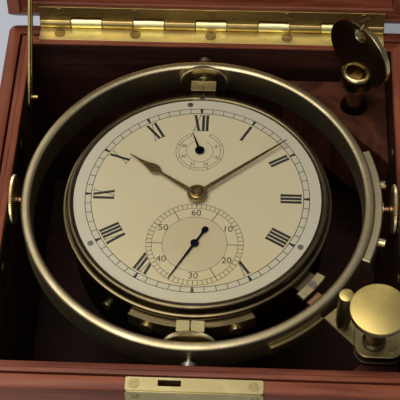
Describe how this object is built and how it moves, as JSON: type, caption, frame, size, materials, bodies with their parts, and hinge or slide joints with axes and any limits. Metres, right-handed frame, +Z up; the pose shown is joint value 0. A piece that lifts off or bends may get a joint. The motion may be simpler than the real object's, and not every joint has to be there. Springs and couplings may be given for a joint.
{
  "type": "marine chronometer",
  "caption": "Boxed marine chronometer: a wooden case with a hinged lid, gimbal ring and lock, a weighted bowl with dial, hands and train, and a winding key.",
  "frame": {"origin": "middle of the box's bottom face", "axes": "+X to the box's right, +Y to its back where the lid hinges, +Z up"},
  "size_m": [0.209, 0.286, 0.3085],
  "materials": {
    "mahogany": "French-polished mahogany, dark reddish brown with a satin to glossy surface",
    "box_brass": "brushed and lightly tarnished",
    "gimbal_brass": "pale lacquered brass, satin",
    "lock_brass": "polished, toned by age",
    "steel": "turned, slightly dull",
    "aged_brass": "dark bronzed lacquer",
    "movement_brass": "gilt brass, fine satin",
    "silvered": "silvered, matt and slightly creamy",
    "gilt": "polished gold",
    "blued_steel": "polished, blued",
    "crystal": "clear polished glass"
  },
  "bodies": {
    "box": {"box_base": "mahogany", "key_block": "mahogany", "lock_block": "mahogany", "hinge_leaf_base": "box_brass", "hinge_pin": "box_brass", "stay_peg": "box_brass", "box_lock": "box_brass", "handle_plate_left": "box_brass", "handle_plate_right": "box_brass", "gimbal_bracket_left": "box_brass", "gimbal_bracket_right": "box_brass", "gimbal_nut_left": "gimbal_brass", "gimbal_nut_right": "gimbal_brass", "gimbal_screw_left": "steel", "gimbal_screw_right": "steel", "lock_base": "lock_brass"},
    "lid": {"lid": "mahogany", "hinge_leaf_lid": "box_brass", "lid_catch": "box_brass", "stay_pivot": "box_brass"},
    "stay": {"lid_stay": "box_brass"},
    "bolt": {"lock_bolt": "box_brass"},
    "handle_left": {"handle_left": "box_brass"},
    "handle_right": {"handle_right": "box_brass"},
    "lever": {"lock_bar": "lock_brass", "lock_stud": "lock_brass", "lock_knob": "lock_brass"},
    "key": {"key_barrel": "lock_brass", "key_bow": "lock_brass"},
    "ring": {"gimbal_ring": "gimbal_brass", "ring_side_plate": "gimbal_brass", "ring_lock_strip": "gimbal_brass", "ring_lock_pad": "gimbal_brass", "bowl_nut_12": "gimbal_brass", "bowl_nut_6": "gimbal_brass", "bowl_screw_12": "steel", "bowl_screw_6": "steel"},
    "bowl": {"bowl": "aged_brass", "bowl_carrier_12": "gimbal_brass", "bowl_carrier_6": "gimbal_brass", "bowl_lock_lug": "gimbal_brass", "bezel": "aged_brass", "crystal": "crystal", "dial": "silvered", "front_plate": "movement_brass", "back_plate": "movement_brass", "detent": "steel", "balance_spring": "blued_steel"},
    "cover": {"winding_cover": "aged_brass"},
    "seconds": {"fourth_wheel": "movement_brass", "second_hand": "blued_steel"},
    "minutes": {"centre_wheel": "movement_brass", "minute_hand": "gilt"},
    "hours": {"hour_hand": "gilt"},
    "third": {"third_wheel": "movement_brass"},
    "escape": {"escape_wheel": "movement_brass"},
    "fusee": {"fusee": "movement_brass"},
    "barrel": {"mainspring_barrel": "movement_brass"},
    "balance": {"balance_wheel": "movement_brass"},
    "reserve": {"reserve_hand": "blued_steel"}
  },
  "joints": [
    {"name": "lid_hinge", "type": "hinge", "parent": "box", "child": "lid", "pos_m": [0, 0.095, 0.1206], "axis": [-1, 0, 0], "range_deg": [-100, 0]},
    {"name": "stay_pivot", "type": "hinge", "parent": "lid", "child": "stay", "pos_m": [-0.0832, 0.10825, 0.15643], "axis": [-1, 0, 0], "range_deg": [0, 50]},
    {"name": "ring_pitch", "type": "hinge", "parent": "box", "child": "ring", "pos_m": [-0.0023, -0.0013, 0.111], "axis": [1, 0, 0], "range_deg": [-32, 32]},
    {"name": "bowl_roll", "type": "hinge", "parent": "ring", "child": "bowl", "pos_m": [-0.0023, -0.0013, 0.111], "axis": [0, 1, 0], "range_deg": [-35, 180]},
    {"name": "seconds", "type": "hinge", "parent": "bowl", "child": "seconds", "pos_m": [-0.0023, -0.0258, 0.118], "axis": [0, 0, -1], "continuous": true},
    {"name": "minutes", "type": "hinge", "parent": "bowl", "child": "minutes", "pos_m": [-0.0023, -0.0013, 0.118], "axis": [0, 0, -1], "continuous": true},
    {"name": "hours", "type": "hinge", "parent": "bowl", "child": "hours", "pos_m": [-0.0023, -0.0013, 0.118], "axis": [0, 0, -1], "continuous": true},
    {"name": "third", "type": "hinge", "parent": "bowl", "child": "third", "pos_m": [0.01183, -0.01517, 0.105], "axis": [0, 0, -1], "continuous": true},
    {"name": "escape", "type": "hinge", "parent": "bowl", "child": "escape", "pos_m": [-0.0175, -0.0324, 0.095], "axis": [0, 0, -1], "continuous": true},
    {"name": "fusee", "type": "hinge", "parent": "bowl", "child": "fusee", "pos_m": [-0.0213, 0.0165, 0.098], "axis": [0, 0, -1], "continuous": true},
    {"name": "barrel", "type": "hinge", "parent": "bowl", "child": "barrel", "pos_m": [0.0197, 0.0207, 0.099], "axis": [0, 0, -1], "continuous": true},
    {"name": "balance", "type": "hinge", "parent": "bowl", "child": "balance", "pos_m": [-0.0243, -0.0226, 0.0795], "axis": [0, 0, -1], "range_deg": [-220, 220], "stiffness_Nm_per_rad": 0.00021},
    {"name": "reserve", "type": "hinge", "parent": "bowl", "child": "reserve", "pos_m": [-0.0023, 0.0232, 0.118], "axis": [0, 0, -1], "range_deg": [-314, 0]},
    {"name": "winding_cover", "type": "hinge", "parent": "bowl", "child": "cover", "pos_m": [-0.0123, 0.0165, 0.0568], "axis": [0, 0, 1], "range_deg": [0, 80], "stiffness_Nm_per_rad": 0.01},
    {"name": "lock_bolt", "type": "slide", "parent": "box", "child": "bolt", "axis": [-1, 0, 0], "range_m": [0, 0.006]},
    {"name": "gimbal_lock", "type": "hinge", "parent": "box", "child": "lever", "pos_m": [0.0713, -0.0698, 0.118], "axis": [0, 0, 1], "range_deg": [-40, 15]},
    {"name": "key_lift", "type": "slide", "parent": "box", "child": "key", "axis": [0, 0, 1], "range_m": [0, 0.05]},
    {"name": "handle_left_swing", "type": "hinge", "parent": "box", "child": "handle_left", "pos_m": [-0.1007, 0, 0.082], "axis": [0, 1, 0], "range_deg": [0, 95]},
    {"name": "handle_right_swing", "type": "hinge", "parent": "box", "child": "handle_right", "pos_m": [0.1007, 0, 0.082], "axis": [0, -1, 0], "range_deg": [0, 95]}
  ],
  "couplings": [
    {"joint": "stay_pivot", "follows": "lid_hinge", "ratio": -0.5},
    {"joint": "minutes", "follows": "seconds", "ratio": 0.016667},
    {"joint": "hours", "follows": "seconds", "ratio": 0.0013889},
    {"joint": "third", "follows": "seconds", "ratio": -0.13333},
    {"joint": "escape", "follows": "seconds", "ratio": -8},
    {"joint": "fusee", "follows": "seconds", "ratio": -0.0027778},
    {"joint": "barrel", "follows": "seconds", "ratio": -0.0018861}
  ]
}
